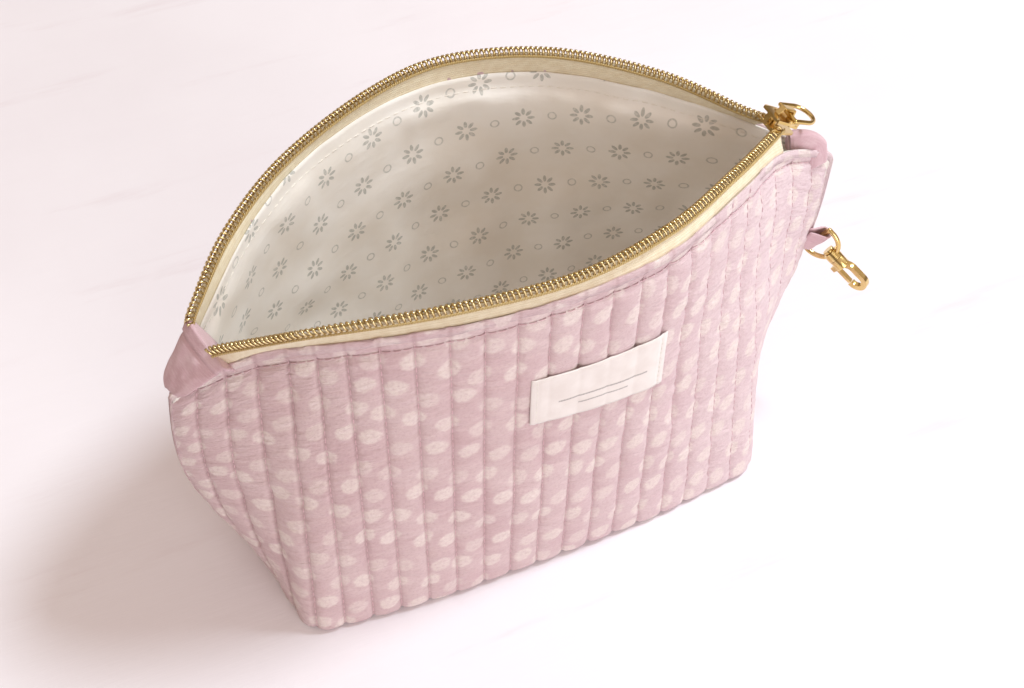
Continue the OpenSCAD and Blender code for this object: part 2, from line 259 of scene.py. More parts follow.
def tube(path, radius, sides, up):
    """Rings of a tube along a path and its faces with closed ends; up is a reference direction."""
    t = unit(np.gradient(path, axis=0))
    b = unit(np.cross(t, up))
    n = np.cross(b, t)
    a = (np.arange(sides) * 2 * math.pi / sides)[None, :, None]
    r = np.broadcast_to(radius, (len(path),))[:, None, None]
    rings = path[:, None] + r * (n[:, None] * np.cos(a) + b[:, None] * np.sin(a))
    faces = grid_faces(len(path), sides, wrap_v=True).tolist()
    faces.append(list(range(sides)))
    faces.append([(len(path) - 1) * sides + k for k in range(sides)][::-1])
    return rings.reshape(-1, 3), faces


def join_parts(parts):
    """One list of points and one of faces from several."""
    points, faces, n = [], [], 0
    for p, f in parts:
        points.append(p)
        faces += [[k + n for k in face] for face in f]
        n += len(p)
    return np.vstack(points), faces


# ---------------------------------------------------------------- how the mouth closes
def closing_share(side, y, lift):
    """Share of the zip's travel that a point needs, where lift is its share of the way up the wall."""
    gap = 2.0
    need = side * (ZIP_Y - side * gap - y)
    return np.clip(need / TRAVEL[side], 0, 1) * lift


def close_with(o):
    """Bakes the piece's placement into its mesh."""
    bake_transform(o)


def wall_share(side, u, v):
    """The share for a point of a panel, lining or pad at u and v."""
    f = share_of(u)
    t = np.clip(np.maximum(v, 0) / WALL_H, 0, 1.05)
    return closing_share(side, edge(side, f)[..., 1], t)


# ---------------------------------------------------------------- materials
class Shader:
    """A principled material and short calls to build its node tree."""

    def __init__(self, name, roughness=0.6, metallic=0.0, sheen=0.0, specular=0.5):
        self.material = bpy.data.materials.new(name)
        self.material.use_nodes = True
        self.tree = self.material.node_tree
        self.surface = self.tree.nodes["Principled BSDF"]
        self.surface.inputs["Roughness"].default_value = roughness
        self.surface.inputs["Metallic"].default_value = metallic
        self.surface.inputs["Sheen Weight"].default_value = sheen
        self.surface.inputs["Sheen Roughness"].default_value = 0.5
        self.surface.inputs["Specular IOR Level"].default_value = specular

    def put(self, socket, value):
        if isinstance(value, bpy.types.NodeSocket):
            self.tree.links.new(value, socket)
        elif value is not None:
            socket.default_value = value

    def node(self, kind, inputs, output=0, **settings):
        n = self.tree.nodes.new("ShaderNode" + kind)
        for key, value in settings.items():
            setattr(n, key, value)
        for key, value in inputs.items():
            self.put(n.inputs[key], value)
        return n.outputs[output]

    def math(self, operation, a, b=None, c=None):
        return self.node("Math", {0: a, 1: b, 2: c}, operation=operation)

    def vector(self, operation, a, b=None):
        return self.node("VectorMath", {0: a, 1: b}, operation=operation)

    def cloth(self):
        return self.node("Attribute", {}, output=1, attribute_name="cloth")

    def place(self):
        """Position in millimetres on the object's own axes."""
        at = self.node("TexCoord", {}, output=3)
        return self.vector("MULTIPLY", at, (1 / MM, 1 / MM, 1 / MM))

    def split(self, v):
        n = self.tree.nodes.new("ShaderNodeSeparateXYZ")
        self.put(n.inputs[0], v)
        return n.outputs

    def noise(self, at, scale, detail=3.0, rough=0.55, stretch=(1, 1, 1)):
        if tuple(stretch) != (1, 1, 1):
            at = self.vector("MULTIPLY", at, stretch)
        return self.node("TexNoise", {"Vector": at, "Scale": scale, "Detail": detail, "Roughness": rough})

    def ramp(self, x, low, high, out_low=0.0, out_high=1.0, kind="SMOOTHSTEP"):
        return self.node("MapRange", {0: x, 1: low, 2: high, 3: out_low, 4: out_high},
                         interpolation_type=kind)

    def mix(self, share, a, b, blend="MIX"):
        n = self.tree.nodes.new("ShaderNodeMix")
        n.data_type = "RGBA"
        n.blend_type = blend
        self.put(n.inputs[0], share)
        self.put(n.inputs[6], a)
        self.put(n.inputs[7], b)
        return n.outputs[2]

    def weave(self, at, pitch):
        """Height of a plain weave, from 0 to 1."""
        x, y = self.split(at)[:2]
        k = 2 * math.pi / pitch
        a = self.math("SINE", self.math("MULTIPLY", x, k))
        b = self.math("SINE", self.math("MULTIPLY", y, k))
        return self.math("MULTIPLY_ADD", self.math("MULTIPLY", a, b), 0.5, 0.5)

    def bump(self, height, distance, strength=1.0, normal=None):
        inputs = {"Height": height, "Distance": distance * MM, "Strength": strength}
        if normal is not None:
            inputs["Normal"] = normal
        return self.node("Bump", inputs)

    def finish(self, colour=None, normal=None, roughness=None):
        self.put(self.surface.inputs["Base Color"], colour)
        if normal is not None:
            self.put(self.surface.inputs["Normal"], normal)
        if roughness is not None:
            self.put(self.surface.inputs["Roughness"], roughness)
        return self.material


def srgb(r, g, b):
    """A colour given in 0 to 255 screen values."""
    linear = [c / 255 / 12.92 if c <= 10 else ((c / 255 + 0.055) / 1.055) ** 2.4 for c in (r, g, b)]
    return tuple(linear) + (1.0,)


def lighter(r, g, b, by):
    """The colour with each part raised by its share of by, up to white."""
    return srgb(*(min(c + more, 255) for c, more in zip((r, g, b), by)))


def print_material():
    """Dusty pink cotton-linen with a washed ground and pale oval petals."""
    s = Shader("outer_print", roughness=0.85, sheen=0.15, specular=0.25)
    at = s.cloth()
    u = s.split(at)[0]
    # Ground: washed patches and streaks along the weft.
    patches = s.noise(at, 0.045, detail=4)
    streaks = s.noise(at, 0.16, detail=4, stretch=(0.28, 1.6, 1))
    fine = s.noise(at, 1.3, detail=3, stretch=(0.5, 1.4, 1))
    ground = s.mix(s.ramp(patches, 0.35, 0.65), srgb(214, 186, 189), srgb(222, 199, 200))
    ground = s.mix(s.ramp(streaks, 0.45, 0.75, 0, 0.7), ground, srgb(230, 208, 208))
    ground = s.mix(s.ramp(fine, 0.45, 0.8, 0, 0.4), ground, srgb(203, 170, 174))
    # Painted light: the ground is lightened towards the right, where the window light falls.
    ground = s.mix(s.ramp(u, 110, 235, 0, 0.5, kind="LINEAR"), ground, srgb(236, 219, 225))
    # Petals: one oval in each cell, with its own turn, and pointed at one end.
    cell, grid_turn = 10.7, 0.42
    drift = s.node("TexNoise", {"Vector": at, "Scale": 0.35, "Detail": 2.0}, output=1)
    warp = s.vector("MULTIPLY", s.vector("SUBTRACT", drift, (0.5, 0.5, 0.5)), (1.6, 1.6, 0))
    turned = s.node("VectorRotate", {"Vector": s.vector("ADD", at, warp), "Angle": grid_turn},
                    rotation_type="Z_AXIS")
    p = s.vector("MULTIPLY", turned, (1 / cell, 1 / cell, 0))
    cells = s.tree.nodes.new("ShaderNodeTexVoronoi")
    cells.voronoi_dimensions = "2D"
    cells.inputs["Scale"].default_value = 1.0
    cells.inputs["Randomness"].default_value = 0.34
    s.put(cells.inputs["Vector"], p)
    local = s.vector("MULTIPLY", s.vector("SUBTRACT", p, cells.outputs["Position"]), (cell, cell, 0))
    random = s.split(cells.outputs["Color"])
    lean = s.ramp(u, 60, 200, 0.1, 1.15, kind="LINEAR")
    turn = s.math("ADD", lean, s.math("MULTIPLY", s.math("SUBTRACT", random[0], 0.5), 1.1))
    turned = s.node("VectorRotate", {"Vector": local, "Angle": s.math("SUBTRACT", -grid_turn, turn)},
                    rotation_type="Z_AXIS")
    x, y = s.split(turned)[:2]
    half_w = s.math("MULTIPLY_ADD", x, -0.06, 3.1)
    round_ = s.math("SQRT", s.math("ADD", s.math("POWER", s.math("DIVIDE", x, 3.8), 2.0),
                                   s.math("POWER", s.math("DIVIDE", y, half_w), 2.0)))
    petal = s.ramp(round_, 1.16, 0.76)
    strength = s.ramp(random[1], 0.0, 0.7, 0.6, 0.95)
    wash = s.ramp(s.noise(at, 0.6, detail=3), 0.25, 0.6, 0.55, 1.0)
    petal = s.math("MULTIPLY", s.math("MULTIPLY", petal, strength), wash)
    colour = s.mix(petal, ground, srgb(240, 226, 221))
    weave = s.weave(at, 0.62)
    colour = s.mix(s.ramp(weave, 0, 1, 0.10, 0.0), colour, srgb(170, 128, 142))
    mottle = s.noise(at, 0.9, detail=5, rough=0.7)
    colour = s.mix(s.ramp(mottle, 0.45, 0.7, 0, 0.3), colour, srgb(186, 148, 158))
    # The stitched lines draw in the cloth beside them; painted shade darkens the cloth along them, fading
    # towards the right where the window light falls.
    in_channel = s.math("FLOORED_MODULO", s.math("ADD", u, CHANNEL / 2), CHANNEL)
    from_line = s.math("ABSOLUTE", s.math("SUBTRACT", in_channel, CHANNEL / 2))
    colour = s.mix(s.math("MULTIPLY", s.ramp(from_line, 1.1, 0.1, 0.0, 0.32), s.ramp(u, 130, 215, 1.0, 0.2)),
                   colour, srgb(168, 126, 130))
    slub = s.noise(at, 1.0, detail=4, stretch=(0.25, 2.2, 1))
    crease = s.noise(at, 0.34, detail=4, rough=0.6, stretch=(0.55, 1.7, 1))
    normal = s.bump(weave, 0.06, 0.7)
    normal = s.bump(slub, 0.2, 0.7, normal)
    normal = s.bump(crease, 1.5, 0.7, normal)
    return s.finish(colour, normal)


def linen_material():
    """Plain mauve linen of the tabs and the strap loop."""
    s = Shader("plain_linen", roughness=0.85, sheen=0.2, specular=0.25)
    at = s.cloth()
    patches = s.noise(at, 0.12, detail=4)
    slub = s.noise(at, 1.1, detail=4, stretch=(0.3, 2.0, 1))
    colour = s.mix(s.ramp(patches, 0.35, 0.65), srgb(206, 170, 178), srgb(216, 186, 192))
    colour = s.mix(s.ramp(slub, 0.4, 0.7, 0, 0.5), colour, srgb(228, 203, 208))
    weave = s.weave(at, 0.6)
    colour = s.mix(s.ramp(weave, 0, 1, 0.18, 0.0), colour, srgb(172, 132, 144))
    normal = s.bump(slub, 0.12, 0.6, s.bump(weave, 0.06, 0.7))
    return s.finish(colour, normal)


def lining_material():
    """White cotton with grey daisies and small rings on a half-drop grid."""
    s = Shader("lining_print", roughness=0.8, sheen=0.1, specular=0.3)
    at = s.cloth()
    turned = s.node("VectorRotate", {"Vector": at, "Angle": 0.3}, rotation_type="Z_AXIS")
    u, v = s.split(turned)[:2]
    pitch = 17.5

    def repeat(du, dv):
        """Place within one repeat, measured from its middle, in millimetres."""
        column = s.math("FLOOR", s.math("DIVIDE", s.math("ADD", u, du), pitch))
        drop = s.math("MULTIPLY", s.math("FLOORED_MODULO", column, 2.0), pitch / 2)
        x = s.math("FLOORED_MODULO", s.math("ADD", u, du), pitch)
        y = s.math("FLOORED_MODULO", s.math("ADD", s.math("ADD", v, drop), dv), pitch)
        return s.math("SUBTRACT", x, pitch / 2), s.math("SUBTRACT", y, pitch / 2)

    def length(x, y):
        return s.math("SQRT", s.math("ADD", s.math("MULTIPLY", x, x), s.math("MULTIPLY", y, y)))

    x, y = repeat(3.0, 4.0)
    r = length(x, y)
    angle = s.math("DIVIDE", s.math("ARCTAN2", y, x), math.pi / 4)
    off = s.math("ABSOLUTE", s.math("SUBTRACT", s.math("FRACT", s.math("ADD", angle, 10.0)), 0.5))
    across = s.math("MULTIPLY", s.math("MULTIPLY", off, r), math.pi / 4)
    along = s.math("SUBTRACT", r, 2.55)
    petal = s.math("ADD", s.math("POWER", s.math("DIVIDE", s.math("ABSOLUTE", along), 1.3), 2.0),
                   s.math("POWER", s.math("DIVIDE", across, 0.62), 2.0))
    flower = s.ramp(petal, 1.25, 0.7)
    x, y = repeat(3.0 + pitch / 2, 4.0 + pitch / 4)
    ring = s.ramp(s.math("ABSOLUTE", s.math("SUBTRACT", length(x, y), 1.35)), 0.38, 0.14, 0.0, 0.8)
    worn = s.ramp(s.noise(at, 0.9, detail=3), 0.3, 0.6, 0.45, 0.85)
    ink = s.math("MULTIPLY", s.math("MAXIMUM", flower, ring), worn)
    cloud = s.noise(at, 0.05, detail=3)
    colour = s.mix(s.ramp(cloud, 0.3, 0.7), srgb(243, 237, 229), srgb(249, 245, 240))
    colour = s.mix(ink, colour, srgb(180, 180, 174))
    weave = s.weave(at, 0.45)
    crease = s.noise(at, 0.22, detail=5, stretch=(0.5, 1.3, 1))
    normal = s.bump(crease, 0.5, 0.5, s.bump(weave, 0.03, 0.4))
    return s.finish(colour, normal)


def thread_material(name, r, g, b, metal=0.0):
    s = Shader(name, roughness=0.6 - 0.2 * metal, sheen=0.1, metallic=metal)
    at = s.place()
    fibre = s.noise(at, 3.0, detail=3)
    colour = s.mix(s.ramp(fibre, 0.3, 0.7), srgb(r, g, b), lighter(r, g, b, (14, 14, 16)))
    return s.finish(colour, s.bump(fibre, 0.08, 0.6))


def tape_material():
    """Woven cream zip tape, ribbed along its length."""
    s = Shader("zip_tape_weave", roughness=0.75, sheen=0.1)
    at = s.cloth()
    u, v = s.split(at)[:2]
    rib = s.math("SINE", s.math("MULTIPLY", v, 2 * math.pi / 0.8))
    rows = s.math("SINE", s.math("MULTIPLY", u, 2 * math.pi / 0.7))
    height = s.math("MULTIPLY_ADD", s.math("MULTIPLY", rib, rows), 0.3, s.math("MULTIPLY", rib, 0.4))
    worn = s.noise(at, 0.4, detail=3)
    colour = s.mix(s.ramp(worn, 0.3, 0.7), srgb(233, 219, 190), srgb(243, 233, 208))
    colour = s.mix(s.ramp(height, -0.7, 0.7, 0.3, 0), colour, srgb(205, 186, 148))
    return s.finish(colour, s.bump(height, 0.12, 0.7))


def wadding_material():
    s = Shader("wadding_fleece", roughness=1.0, sheen=0.3, specular=0.1)
    at = s.place()
    fibre = s.noise(at, 0.8, detail=6, rough=0.7)
    colour = s.mix(s.ramp(fibre, 0.35, 0.65), srgb(226, 224, 220), srgb(246, 245, 242))
    return s.finish(colour, s.bump(fibre, 0.5, 0.8))


def metal_material(name, r, g, b, roughness):
    """Plated metal with faint polishing marks and small changes of tone."""
    s = Shader(name, roughness=roughness, metallic=1.0)
    at = s.place()
    tone = s.noise(at, 0.35, detail=3)
    marks = s.noise(at, 2.2, detail=5, rough=0.65, stretch=(1, 1, 3))
    colour = s.mix(s.ramp(tone, 0.35, 0.7), srgb(r, g, b), lighter(r, g, b, (10, 14, 22)))
    rough = s.ramp(marks, 0.3, 0.7, roughness * 0.8, roughness * 1.4)
    return s.finish(colour, s.bump(marks, 0.012, 0.5), rough)


def label_material():
    """Off-white satin ribbon with two plain printed rules."""
    s = Shader("label_satin", roughness=0.45, sheen=0.25)
    at = s.cloth()
    u, v = s.split(at)[:2]
    rib = s.math("SINE", s.math("MULTIPLY", v, 2 * math.pi / 0.5))
    cloud = s.noise(at, 0.12, detail=3)
    colour = s.mix(s.ramp(cloud, 0.3, 0.7), srgb(229, 220, 215), srgb(238, 231, 227))

    def rule(middle_u, half_u, at_v, half_v):
        a = s.ramp(s.math("ABSOLUTE", s.math("SUBTRACT", u, middle_u)), half_u, half_u - 0.4)
        b = s.ramp(s.math("ABSOLUTE", s.math("SUBTRACT", v, at_v)), half_v + 0.12, half_v - 0.05)
        return s.math("MULTIPLY", a, b)

    lines = s.math("MAXIMUM", rule(25, 16, 8.0, 0.28), rule(25, 9, 5.0, 0.22))
    ink = s.math("MULTIPLY", lines, s.ramp(s.noise(at, 2.0, detail=2), 0.25, 0.6, 0.35, 0.75))
    colour = s.mix(ink, colour, srgb(128, 116, 116))
    return s.finish(colour, s.bump(rib, 0.02, 0.5))


PRINT = print_material()
LINEN = linen_material()
LINING = lining_material()
WADDING = wadding_material()
TAPE = tape_material()
LABEL = label_material()
PINK_THREAD = thread_material("pink_thread", 214, 180, 186)
WHITE_THREAD = thread_material("white_thread", 232, 226, 216)
COIL_THREAD = thread_material("coil_thread", 196, 170, 112, metal=0.35)
GOLD = metal_material("gold_plate", 216, 186, 118, 0.16)
CLASP_GOLD = metal_material("clasp_plate", 222, 192, 124, 0.18)
COIL_GOLD = metal_material("coil_metal", 214, 190, 136, 0.22)
SPRING = metal_material("spring_wire", 178, 178, 180, 0.3)


# ---------------------------------------------------------------- outer fabric, wadding and lining
TOPSTITCH = 5.5
QUILT_DEPTH = 1.05
SEAM_PULL = 1.5


def from_channel_line(u):
    """Distance from the nearest line of quilting."""
    return np.abs((u + CHANNEL / 2) % CHANNEL - CHANNEL / 2)


def quilting(u, v):
    """Depth of the quilted face below its crowns: stitched grooves, the topstitch and the seams."""
    from_line = from_channel_line(u)
    from_top = WALL_H - v
    band = smooth((from_top - TOPSTITCH + 1) / 2.5)
    soft = 1 + 0.25 * lattice_noise(u / 14, v / 9, 3)
    groove = QUILT_DEPTH * soft * (np.exp(-from_line / 0.8) + 0.1 * np.cos(math.pi * from_line / 5))
    depth = groove * (0.3 + 0.7 * band) * (1 - 0.45 * smooth((u - 150) / 60))
    depth += 0.75 * np.exp(-((from_top - TOPSTITCH) / 0.7) ** 2)
    depth += 0.3 * (1 - band)
    near_seam = np.minimum(u, PANEL_W - u)
    depth += SEAM_PULL * np.exp(-((near_seam / 2.2) ** 2)) * smooth((from_top + 2) / 6)
    depth += 0.9 * np.exp(-(((v + BASE_RUN) / 2.0) ** 2))
    return depth


def puckers(u, v):
    """Small creases that the stitching draws across each channel."""
    near = np.exp(-from_channel_line(u) / 3.2)
    fine = lattice_noise(u / 7, v / 3.0, 11) * 0.32 + lattice_noise(u / 4, v / 1.7, 12) * 0.14
    return fine * (0.35 + near) + lattice_noise(u / 28, v / 22, 13) * 0.55


def rim_drop(u):
    """How far the fabric's top corners round off below the straight edge."""
    right_run, left_run, drop = 3.5, 4.0, 3.0
    right = np.clip((u - (PANEL_W - right_run)) / right_run, 0, 1)
    left = np.clip((left_run - u) / left_run, 0, 1)
    return drop * (1 - np.sqrt(1 - 0.98 * right ** 2)) + drop * (1 - np.sqrt(1 - 0.98 * left ** 2))


def cloth_grid(step_u, step_v, low=-BASE_RUN, high=WALL_H):
    """Cloth coordinates over a panel, about step_u and step_v apart."""
    nu = int(round(PANEL_W / step_u)) + 1
    nv = int(round((high - low) / step_v)) + 1
    return np.meshgrid(np.linspace(0, PANEL_W, nu), np.linspace(low, high, nv), indexing="ij")


def rounded_off(u, v):
    """Heights up the wall, drawn down to the rim's rounded corners."""
    return np.where(v > 0, v * (1 - rim_drop(u) / WALL_H), v)


def sample(grid, u, v, low=-BASE_RUN, high=WALL_H):
    """A grid of points read between its rows at u and v."""
    nu, nv = grid.shape[:2]
    x = np.clip(u / PANEL_W * (nu - 1), 0, nu - 1.001)
    y = np.clip((v - low) / (high - low) * (nv - 1), 0, nv - 1.001)
    i, j = x.astype(int), y.astype(int)
    a, b = (x - i)[..., None], (y - j)[..., None]
    return ((grid[i, j] * (1 - a) + grid[i + 1, j] * a) * (1 - b)
            + (grid[i, j + 1] * (1 - a) + grid[i + 1, j + 1] * a) * b)


def outer_surface(side, u, v):
    """The outer fabric's face with its quilting, and its outward normals."""
    p = rounded_skin(side, u, v, 0.0, 4.0)
    n = grid_normals(p, side)
    from_seam = smooth(np.minimum(u, PANEL_W - u) / 5)
    depth = quilting(u, v) * (0.1 + 0.9 * from_seam)
    flat = smooth(1 - v / 8) * 0.45
    lift = puckers(u, v) * (1 - flat) * from_seam - 0.15 * (1 - from_seam)
    lift = np.where(v < 0, np.minimum(lift, 0), lift)
    return p - n * np.maximum(depth - lift, -0.6)[..., None], n


def outer_fabric(side):
    u, v = cloth_grid(1.0, 1.35)
    p = outer_surface(side, u, rounded_off(u, v))[0]
    # The fabric's fold at the zip: a round lip, then a short turn down the inside.
    f = share_of(u[:, -1])
    into = inward(side, f)
    up = unit(p[:, -1] - p[:, -2])
    lip = [(0.08, 0.3), (0.3, 0.45), (0.52, 0.25), (0.58, -0.6), (0.58, -2.4)]
    face = skin(side, u[:, -1], rounded_off(u, v)[:, -1], 0.0)
    rows = [face + (p[:, -1] - face) * max(0, 1 - 2.5 * a) + into * a + up * b for a, b in lip]
    p = np.concatenate([p, np.stack(rows, 1)], 1)
    far = np.cumsum([0.3, 0.3, 0.3, 0.9, 1.8])
    u = np.concatenate([u, np.repeat(u[:, -1:], len(lip), 1)], 1)
    v = np.concatenate([v, v[:, -1:] + far[None]], 1)
    p[..., 2] = np.maximum(p[..., 2], 0.02)
    cloth = np.stack([u, v + (0 if side > 0 else 300), 0 * u], -1)
    faces = grid_faces(*u.shape, flip=side < 0).tolist()
    o = mesh_object("outer_" + SIDE_NAME[side], p, faces, PRINT, cloth)
    solidify(o, 0.3)
    close_with(o)
    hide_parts(SIDE_NAME[side] + "_panel")


def lining_surface(side, u, v):
    """The lining's inner face: eased in near the zip, and softly creased."""
    into_top = smooth((WALL_H - v) / 12)
    o = 1.9 + 1.7 * into_top + 1.5 * (1 - smooth(np.minimum(u, PANEL_W - u) / 8))
    p = rounded_skin(side, u, rounded_off(u, v), o, 9.0)
    n = grid_normals(p, side)
    band = smooth((WALL_H - v - 4) / 4)
    ends = smooth(np.minimum(u, PANEL_W - u) / 12)
    fold = lattice_noise(u / 17, v / 55, 21 + side) * 1.1 + lattice_noise(u / 33, v / 19, 25 + side) * 1.5
    fold += lattice_noise(u / 8, v / 11, 29 + side) * 0.35
    pucker = lattice_noise(u / 5.5, v / 16, 31 + side) * 0.95 * np.exp(-((WALL_H - v - 10) / 8) ** 2)
    stitch = 0.35 * np.exp(-((WALL_H - v - 5) / 0.8) ** 2)
    inwards = (1.0 + fold) * band * (0.25 + 0.75 * ends) + np.maximum(pucker, -0.1) - stitch
    return p - n * np.maximum(inwards, -0.15)[..., None]


def lining_fabric(side):
    u, v = cloth_grid(1.6, 1.6)
    p = lining_surface(side, u, v)
    cloth = np.stack([u, v + (0 if side > 0 else 8.5), 0 * u], -1)
    faces = grid_faces(*u.shape, flip=side > 0).tolist()
    o = mesh_object("lining_" + SIDE_NAME[side] + "_cloth", p, faces, LINING, cloth)
    solidify(o, LINING_T)
    close_with(o)
    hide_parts("lining_" + SIDE_NAME[side])


def wadding_pad(side):
    """The quilted wadding, as a closed form between the two fabrics."""
    u, v = cloth_grid(2.5, 3.0, high=WALL_H - 9)
    p = outer_surface(side, u, v)[0]
    inner = rounded_skin(side, u, v, 3.0, 8.0)
    low = p * 0.62 + inner * 0.38
    high = p * 0.36 + inner * 0.64
    nu, nv = u.shape
    k = nu * nv
    faces = grid_faces(nu, nv, flip=side < 0).tolist() + grid_faces(nu, nv, flip=side > 0, start=k).tolist()
    ring = [i * nv for i in range(nu)] + [(nu - 1) * nv + j for j in range(1, nv)]
    ring += [i * nv + nv - 1 for i in range(nu - 2, -1, -1)] + [j for j in range(nv - 2, 0, -1)]
    for a, b in zip(ring, ring[1:] + ring[:1]):
        face = [b, a, a + k, b + k]
        faces.append(face if side > 0 else face[::-1])
    points = np.concatenate([low.reshape(-1, 3), high.reshape(-1, 3)])
    o = mesh_object("wadding_" + SIDE_NAME[side] + "_pad", points, faces, WADDING)
    close_with(o)
    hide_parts("wadding_" + SIDE_NAME[side])


for layer in (outer_fabric, lining_fabric, wadding_pad):
    for side in (1, -1):
        layer(side)


# ---------------------------------------------------------------- zip
COIL_PITCH = 1.5
COIL_HALF_W = 1.5
COIL_HALF_H = 0.8
COIL_WIRE = 0.36


def zip_axes(side, f):
    """Middle of the coil and its directions: along, up from the tape, and across the tape."""
    c = coil_point(side, f)
    e = ZIP_START + (ZIP_END - ZIP_START) * f
    root = edge(side, e) + inward(side, e) * TAPE_INSET
    along = unit(coil_point(side, np.minimum(f + 0.01, 1)) - coil_point(side, np.maximum(f - 0.01, 0)))
    up = unit(c - root)
    across = unit(np.cross(up, along))
    up = np.cross(along, across)
    return c, root, along, up, across


def zip_coil(side):
    """One coil: a wire wound in flat turns, thicker at the head of each turn."""
    length = COIL_TABLE[side][2]
    turns = int(length / COIL_PITCH)
    per_turn = 14
    k = np.arange(turns * per_turn + 1)
    f = k / k[-1]
    a = 2 * math.pi * k / per_turn
    c, _, along, up, across = zip_axes(side, f)
    head = np.clip(np.cos(a), 0, 1)[:, None]
    lag = (COIL_PITCH * 0.22 * np.sin(a))[:, None]
    turn = up * (COIL_HALF_W * np.cos(a))[:, None] - across * (COIL_HALF_H * np.sin(a))[:, None]
    path = c + turn + along * lag
    radius = COIL_WIRE * (1 + 0.28 * head[:, 0] ** 4)
    sides = 6
    points, faces = tube(path, radius, sides, along)
    o = mesh_object("coil_" + SIDE_NAME[side], points, faces, COIL_GOLD)
    close_with(o)
    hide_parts("zip_coil_" + SIDE_NAME[side])


def coil_stitching(side):
    """Two twisted threads that hold the coil's legs to the tape, one on each face."""
    length = COIL_TABLE[side][2]
    n = int(length / COIL_PITCH) * 8 + 1
    k = np.arange(n)
    f = k / (n - 1)
    c, _, _, up, across = zip_axes(side, f)
    parts, middles = [], []
    for face in (-1, 1):
        for strand in (0, math.pi):
            a = 2 * math.pi * k / 8 + strand
            path = (c - up * (0.95 + 0.28 * np.cos(a))[:, None]
                    + across * (face * (COIL_HALF_H + 0.42 + 0.16 * np.sin(a)))[:, None])
            parts.append(tube(path, 0.2, 5, up))
            middles.append(np.repeat(c, 5, 0))
    points, faces = join_parts(parts)
    o = mesh_object("coil_stitching_" + SIDE_NAME[side], points, faces, COIL_THREAD)
    close_with(o)


def zip_tape(side):
    """The tape, from inside the seam to under the coil's legs."""
    n = 200
    f = np.linspace(0, 1, n)
    c, root, _, up, _ = zip_axes(side, f)
    e = ZIP_START + (ZIP_END - ZIP_START) * f
    high = c - up * 0.3
    span = np.linalg.norm(high - root, axis=-1)
    wall_foot = skin(side, e * PANEL_W, 0 * f, np.array(0.0))
    rows, widths = [], []
    for s, inset in ((3.4, 1.7), (2.2, 1.6), (1.4, 1.4), (0.6, 1.1)):
        low = edge(side, e) * (1 - s / WALL_H) + wall_foot * (s / WALL_H)
        rows.append(low + inward(side, e) * inset)
        widths.append(0 * span - s)
    for s in (0.12, 0.35, 0.6, 0.8, 1.0):
        sag = inward(side, e) * (0.5 * math.sin(math.pi * s))
        rows.append(root * (1 - s) + high * s + sag)
        widths.append(span * s)
    p = np.stack(rows, 1)
    u = np.repeat((f * COIL_TABLE[side][2])[:, None], len(rows), 1)
    v = np.stack(widths, 1)
    o = mesh_object("tape_" + SIDE_NAME[side], p, grid_faces(*u.shape, flip=side < 0).tolist(), TAPE,
                    np.stack([u, v, 0 * u], -1))
    solidify(o, 0.45, 0.0)
    close_with(o)
    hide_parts("zip_tape_" + SIDE_NAME[side])


for piece in (zip_coil, coil_stitching, zip_tape):
    for side in (1, -1):
        piece(side)


# ---------------------------------------------------------------- CAD pieces that keep their own shape
def finish_node(node, material):
    """Gives a CAD node its material and slot."""
    o = frame["nodes"][node]
    o.data.materials.clear()
    o.data.materials.append(material)


def soften(node, width):
    """Rounds a metal node's sharp edges."""
    o = frame["nodes"][node]
    weld = o.modifiers.new("weld", "WELD")
    weld.merge_threshold = 0.004 * MM
    bevel = o.modifiers.new("rounding", "BEVEL")
    bevel.width = width * MM
    bevel.segments = 3
    bevel.limit_method = "ANGLE"
    bevel.angle_limit = math.radians(40)
    bevel.harden_normals = True


for node in ("slider_body", "slider_crown", "puller"):
    finish_node(node, GOLD)
for node, width in (("slider_body", 0.3), ("slider_crown", 0.3), ("swivel_post", 0.15), ("hook_body", 0.3),
                    ("trigger", 0.2), ("trigger_pin", 0.12)):
    soften(node, width)
for node in ("clasp_ring", "swivel_post", "hook_body", "trigger", "trigger_pin"):
    finish_node(node, CLASP_GOLD)
finish_node("trigger_spring", SPRING)


